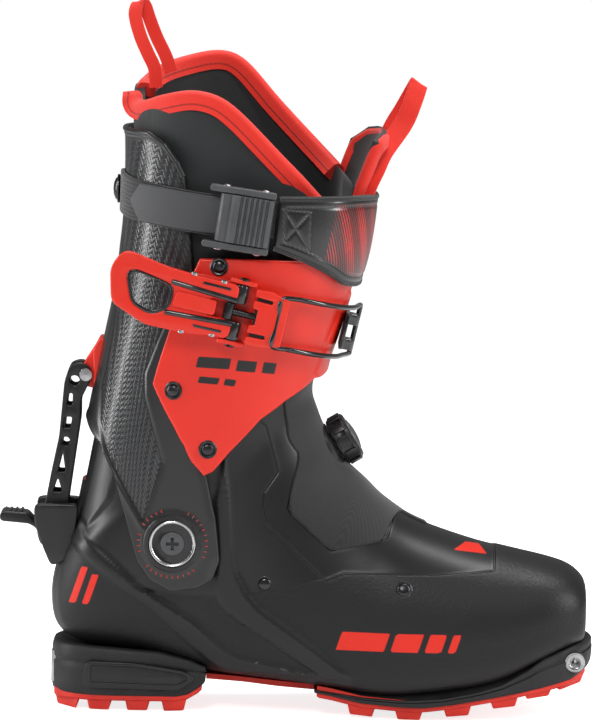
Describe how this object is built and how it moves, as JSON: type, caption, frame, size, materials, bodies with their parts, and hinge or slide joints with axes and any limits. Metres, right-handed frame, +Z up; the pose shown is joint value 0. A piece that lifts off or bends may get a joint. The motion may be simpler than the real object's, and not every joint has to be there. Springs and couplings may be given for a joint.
{
  "type": "alpine touring boot",
  "caption": "Ski touring boot: two-part hinged shell, liner, wire-bail buckle, power strap, lace dial, heel walk-mode lever and lugged sole.",
  "frame": {"origin": "middle of the whole boot's box, on the ground plane under the sole", "axes": "+X to the toe, +Y to the inner side of the foot, +Z up"},
  "size_m": [0.3281, 0.129, 0.3881],
  "materials": {
    "shell": "satin moulded black plastic with a fine grain",
    "grey_plastic": "dark grey moulded plastic",
    "carbon": "carbon weave under clear resin, with a satin frame",
    "red_plastic": "satin orange-red plastic",
    "red_rubber": "orange-red sole rubber",
    "sole_rubber": "black rubber",
    "gaiter": "fine coated weave",
    "liner": "smooth black liner cloth over foam",
    "red_webbing": "orange-red woven tape",
    "webbing": "black woven webbing",
    "strap_pad": "black printed film on foam",
    "steel": "bright steel",
    "dark_metal": "black plated metal"
  },
  "bodies": {
    "lower_boot": {"lower_shell": "shell", "boot_board": "grey_plastic", "footbed": "webbing", "liner_foot": "liner", "heel_outsole": "red_rubber", "heel_rim": "sole_rubber", "forefoot_outsole": "red_rubber", "forefoot_rim": "sole_rubber", "arch_strip": "red_rubber", "toe_fitting": "steel", "heel_fitting": "steel", "heel_fitting_screw_1": "steel", "heel_fitting_screw_2": "steel", "heel_panel_outer": "shell", "heel_panel_inner": "shell", "shell_rivet_1": "dark_metal", "shell_rivet_2": "dark_metal", "shell_rivet_3": "dark_metal", "shell_rivet_4": "dark_metal", "instep_gaiter": "gaiter", "dial_base": "dark_metal", "catch_housing": "shell", "lever_pin": "steel"},
    "walk_lever": {"walk_lever": "sole_rubber"},
    "dial_slider": {"dial_spool": "steel"},
    "dial_knob": {"dial_knob": "shell", "dial_cap": "grey_plastic"},
    "cuff": {"rear_cuff": "carbon", "cuff_flap_outer": "red_plastic", "cuff_flap_inner": "red_plastic", "cuff_rivet_1": "dark_metal", "cuff_rivet_2": "dark_metal", "cuff_rivet_3": "dark_metal", "cuff_rivet_4": "dark_metal", "cuff_rivet_5": "dark_metal", "cuff_rivet_6": "dark_metal", "pivot_ring_outer": "steel", "pivot_ring_inner": "steel", "pivot_bolt_outer": "dark_metal", "pivot_bolt_inner": "dark_metal", "liner_shaft": "liner", "liner_binding_outer": "red_webbing", "liner_binding_inner": "red_webbing", "tongue": "liner", "rear_pull_loop": "red_webbing", "front_pull_loop": "red_webbing", "lock_bracket": "red_plastic", "lock_pin": "steel", "buckle_base": "red_plastic", "buckle_catch": "shell", "strap_band": "webbing", "strap_pad": "strap_pad", "strap_frame": "grey_plastic", "strap_rivet": "dark_metal"},
    "lock_bar": {"lock_bar": "shell"},
    "buckle_lever": {"buckle_lever": "red_plastic"},
    "buckle_link": {"buckle_rod": "steel", "wire_block": "red_plastic"},
    "wire_bail": {"wire_bail": "dark_metal"},
    "strap_cam": {"strap_cam": "grey_plastic"}
  },
  "joints": [
    {"name": "cuff_flex", "type": "hinge", "parent": "lower_boot", "child": "cuff", "pos_m": [-0.0675, 0.0037, 0.095], "axis": [0, 1, 0], "range_deg": [-8, 12]},
    {"name": "lock_bar_swing", "type": "hinge", "parent": "cuff", "child": "lock_bar", "pos_m": [-0.1175, 0.0037, 0.182], "axis": [0, 1, 0], "range_deg": [-1.5, 1.5]},
    {"name": "walk_lever_fold", "type": "hinge", "parent": "lower_boot", "child": "walk_lever", "pos_m": [-0.1383, 0.0037, 0.0925], "axis": [0, -1, 0], "range_deg": [0, 85]},
    {"name": "dial_pull", "type": "slide", "parent": "lower_boot", "child": "dial_slider", "axis": [0.8572, 0, 0.515], "range_m": [0, 0.003]},
    {"name": "dial_turn", "type": "hinge", "parent": "dial_slider", "child": "dial_knob", "pos_m": [0.0208, 0.0037, 0.1459], "axis": [0.8572, 0, 0.515], "continuous": true},
    {"name": "buckle_open", "type": "hinge", "parent": "cuff", "child": "buckle_lever", "pos_m": [-0.0346, -0.0595, 0.223], "axis": [0.2147, 0, 0.9767], "range_deg": [0, 115]},
    {"name": "link_turn", "type": "hinge", "parent": "buckle_lever", "child": "buckle_link", "pos_m": [-0.03929, -0.0605, 0.22403], "axis": [0.2147, 0, 0.9767], "range_deg": [-115, 0]},
    {"name": "bail_swing", "type": "hinge", "parent": "buckle_link", "child": "wire_bail", "pos_m": [-0.01311, -0.0629, 0.21828], "axis": [-0.2147, 0, -0.9767], "range_deg": [0, 25]},
    {"name": "cam_open", "type": "hinge", "parent": "cuff", "child": "strap_cam", "pos_m": [-0.04242, -0.0585, 0.27411], "axis": [-0.1392, 0, -0.9903], "range_deg": [0, 55]}
  ],
  "couplings": [
    {"joint": "link_turn", "follows": "buckle_open", "ratio": -1}
  ]
}
